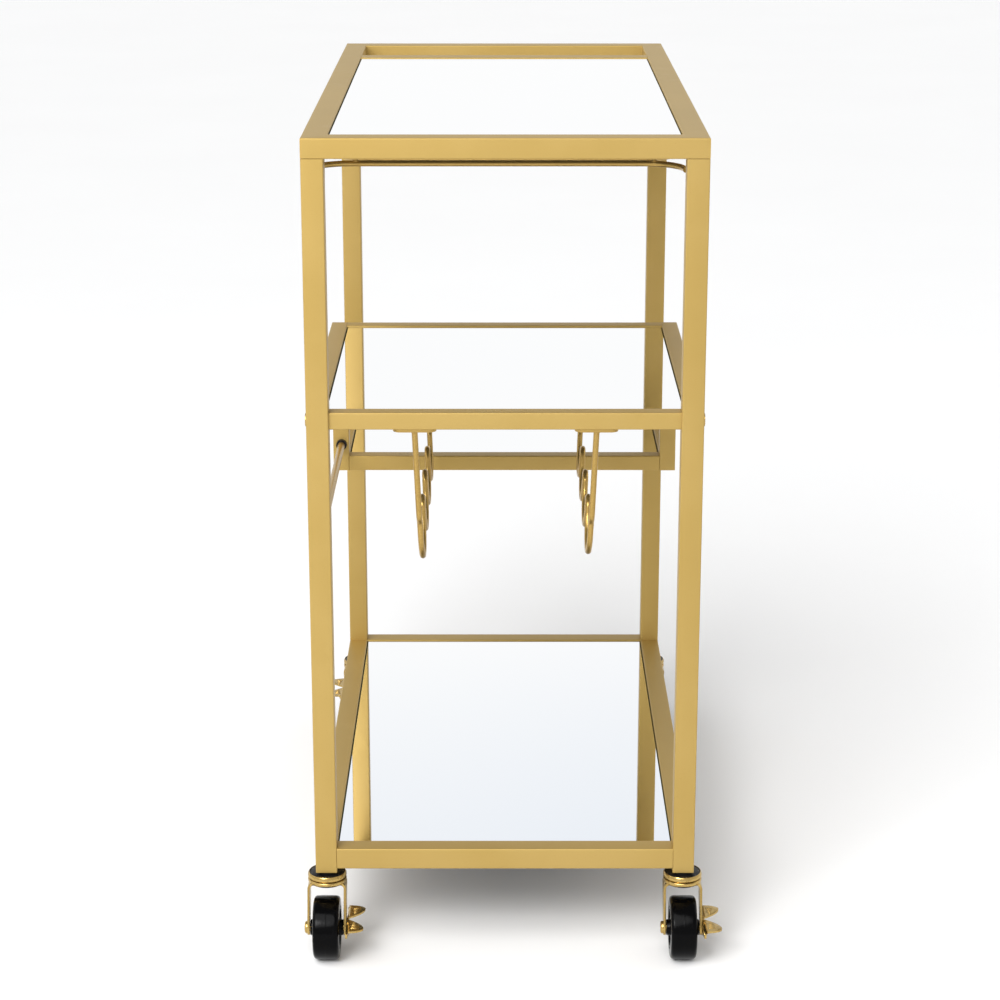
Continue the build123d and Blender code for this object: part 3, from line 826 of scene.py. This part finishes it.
def hubMesh():
    # a dished hub with a long boss and ribs on both faces
    look = hubLook
    corners = [
        (-look["boss"], look["bore"], 0), (-look["boss"], look["bossRadius"], 0.8),
        (-look["web"], look["bossRadius"] + 1.2, 1.2), (-look["web"], look["lip"], 1.2),
        (-look["half"], look["lip"], 0.5), (-look["half"], look["radius"], 0.3),
    ]
    parts = [lathe(rounded(mirrored(corners)), 72, "X")]
    bm = bmesh.new()
    inner, outer = look["bossRadius"] - 0.3, look["lip"] + 0.4
    middle = (inner + outer) / 2
    wide = look["ribWide"] / 2
    near, far = look["half"] + look["ribRise"], look["half"] - look["ribFall"]
    for r, high in ((inner - middle, near), (outer - middle, far)):
        for y in (-wide, wide):
            for z, pull in ((look["web"] - 0.5, 1.0), (high, look["ribTaper"])):
                bm.verts.new((r * mm, y * pull * mm, z * mm))
    bmesh.ops.convex_hull(bm, input=bm.verts)
    rib = toMesh(bm, 20)
    ribs = ringShape.make(rib, Count=look["ribs"], Radius=middle * mm)
    parts.append(moved(ribs, Matrix.Rotation(math.pi / 2, 4, "Y")))
    parts.append(moved(ribs, Matrix.Rotation(-math.pi / 2, 4, "Y")))
    return joined(*parts)


forkLook = {
    "crown": 20.0, "low": 77.0, "high": 82.5, "plate": 2.5, "arm": 18.75, "bend": 5.0,
    "topHalf": 11.5, "endRadius": 8.0, "axle": 33.0, "trail": 18.0, "bore": 5.1,
    "rootFrom": 6.0, "rootTo": 10.0, "neck": 1.5,
}


def armRows(side):
    # one pressed arm: out from under the crown, round the bend, and down to a round end at the axle
    look = forkLook
    middle = look["low"] + look["plate"] / 2
    path = [(look["rootFrom"], middle), (look["rootTo"], middle)]
    turn = (look["arm"] - look["bend"], middle - look["bend"])
    path += arc(turn, look["bend"], 90, 0, 6)
    for part in range(7, -1, -1):
        path.append((look["arm"], look["axle"] + (turn[1] - look["axle"]) * part / 8))
    rows = []
    for x, z in path:
        share = min(1.0, max(0.0, (middle - z) / (middle - look["axle"])))
        half = look["topHalf"] + (look["endRadius"] - look["topHalf"]) * share ** 0.8
        if x < look["arm"] - look["bend"]:
            half = look["topHalf"] - look["neck"]
        rows.append([(side * x, half * k / 4 - look["trail"] * share, z) for k in range(-4, 5)])
    for angle in (15, 30, 45, 60, 72, 82, 88):
        half = look["endRadius"] * math.cos(math.radians(angle))
        z = look["axle"] - look["endRadius"] * math.sin(math.radians(angle))
        rows.append([(side * look["arm"], half * k / 4 - look["trail"], z) for k in range(-4, 5)])
    return rows


def forkMesh():
    # a turned crown with a rolled rim, and two pressed arms
    look = forkLook
    radius, low, high = look["crown"], look["low"], look["high"]
    corners = [
        (low, look["bore"], 0), (low, radius - 1.8, 1.2), (low + 2.0, radius, 1.0),
        (high - 0.8, radius, 0.8), (high, radius - 1.0, 0.6), (high, radius - 2.0, 0.5),
        (low + look["plate"], radius - 2.8, 1.0), (low + look["plate"], look["bore"], 0),
    ]
    crown = lathe(rounded(corners), 72, "Z")
    arms = [sheet(armRows(side), look["plate"], 0.5) for side in (1, -1)]
    return joined(crown, *arms)


pedalLook = {
    "plate": 21.4, "thick": 2.0, "bend": 2.4, "top": 42.0, "half": 31.0, "tip": 23.5, "root": 2.0,
    "reach": 17.4, "eye": 8.5, "foot": 5.0, "footHalf": 7.0, "endDrop": 7.0,
    "ribs": 5, "rib": (4.2, 0.75, 0.5), "ribPitch": 3.2, "ribSmallest": 0.45, "ribAt": 0.42,
}


def wingReach(along):
    # how far a wing stands out at a distance along the pedal from the axle
    look = pedalLook
    if along <= look["root"]:
        return 0.0
    if along <= look["tip"]:
        share = (along - look["root"]) / (look["tip"] - look["root"])
        return look["reach"] * math.sin(share * math.pi / 2) ** 0.9
    share = min(1.0, (along - look["tip"]) / (look["half"] - look["tip"]))
    return look["reach"] * math.sqrt(1 - share ** 2)


def pedalMesh():
    # one bent sheet: a side plate on the axle, and two leaf-shaped wings off its top edge
    look = pedalLook
    axle, trail = forkLook["axle"], forkLook["trail"]
    stops = [part / 2 for part in range(int(look["tip"] * 2) + 1)]
    for part in range(1, 15):
        stops.append(look["tip"] + (look["half"] - look["tip"]) * math.sin(part / 14 * math.pi / 2))
    rows = []
    for along in [-y for y in reversed(stops[1:])] + stops:
        away = abs(along)
        share = max(0.0, away - look["footHalf"]) / (look["half"] - look["footHalf"])
        low = axle - look["foot"] + (look["top"] - look["endDrop"] - axle + look["foot"]) * share
        if away < look["eye"]:
            low = min(low, axle - math.sqrt(look["eye"] ** 2 - away ** 2))
        reach = wingReach(away)
        bend = min(look["bend"], reach)
        side = [(look["plate"], low + (look["top"] - bend - low) * part / 4) for part in range(5)]
        side += arc((look["plate"] + bend, look["top"] - bend), bend, 180, 90, 5)[1:]
        side += [(look["plate"] + bend + (reach - bend) * part / 3, look["top"]) for part in (1, 2, 3)]
        rows.append([(x, along - trail, z) for x, z in side])
    plate = sheet(rows, look["thick"], 0.5)
    sizes = {"Count": look["ribs"], "Spacing": look["ribPitch"] * mm, "Smallest": look["ribSmallest"]}
    ribs = rowShape.make(drop(look["rib"], 2), **sizes)
    start = look["tip"] - look["ribPitch"] * (look["ribs"] - 1)
    out = look["plate"] + look["reach"] * look["ribAt"]
    lift = Vector((out, start, look["top"] + look["thick"] / 2))
    one = moved(ribs, Matrix.Translation((lift + Vector((0, -trail, 0))) * mm))
    flip = Matrix.Translation(Vector((lift.x, -trail - lift.y, lift.z)) * mm)
    two = moved(ribs, flip @ Matrix.Diagonal((1, -1, 1, 1)))
    two.flip_normals()
    return joined(plate, one, two)


ballLook = {"balls": 9, "ring": 16.4, "radius": 0.8, "height": 87.7}


def ballMesh():
    # the row of bearing balls that shows round the dust cover
    look = ballLook
    ball = drop((look["radius"],) * 3, 2)
    balls = ringShape.make(ball, Count=look["balls"], Radius=look["ring"] * mm)
    return moved(balls, Matrix.Translation((0, 0, look["height"] * mm)))


def makeCasters():
    toAxle = Matrix.Translation(Vector((0, -forkLook["trail"], forkLook["axle"])) * mm)
    shapes = {
        "wheel": moved(tyreMesh(), toAxle), "wheel_hub": moved(hubMesh(), toAxle),
        "fork": forkMesh(), "brake_pedal": pedalMesh(),
    }
    for corner in casterAt:
        place = cornerMatrix(corner)
        for kind, mesh in shapes.items():
            newPiece(kind + "_" + corner + "_made", moved(mesh, place), (kind + "_" + corner,))
    balls = [moved(ballMesh(), cornerMatrix(corner)) for corner in casterAt]
    newPiece("swivel_balls", joined(*balls), slot="zinc_steel")


makeCasters()
print("casters made")

replaced = ("wheel_", "fork_", "brake_pedal_", "bottle_cradle_", "bottle_stop_rod", "stemware_wires")
for node in frame["nodes"]:
    if not node.startswith(replaced):
        skin(node)
print("tubes, shelves and fittings skinned")
